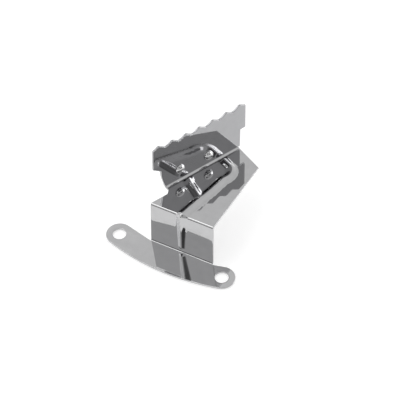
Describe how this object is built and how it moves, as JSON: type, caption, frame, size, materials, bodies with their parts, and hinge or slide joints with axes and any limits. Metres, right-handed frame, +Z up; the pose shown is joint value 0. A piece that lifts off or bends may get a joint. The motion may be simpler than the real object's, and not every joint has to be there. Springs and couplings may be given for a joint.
{
  "type": "cockspur window bracket",
  "caption": "Pressed steel window bracket: crescent screw foot, web, top plate with a pressed bead, and a riveted plate with a waved top edge.",
  "frame": {"origin": "on the underside of the foot, on the web's centre line, 8 mm in front of the corner between foot and web", "axes": "+Z up out of the surface that the foot is screwed to, +X along the bends towards the short ear, +Y from the foot's front edge towards the back of the top plate"},
  "size_m": [0.058, 0.0638, 0.0446],
  "materials": {
    "bracket_steel": "mirror polished",
    "plate_steel": "mirror polished",
    "rivet_steel": "polished"
  },
  "bodies": {
    "root": {"pressed_bracket": "bracket_steel", "toothed_plate": "plate_steel", "left_rivet": "rivet_steel", "right_rivet": "rivet_steel"}
  },
  "joints": []
}
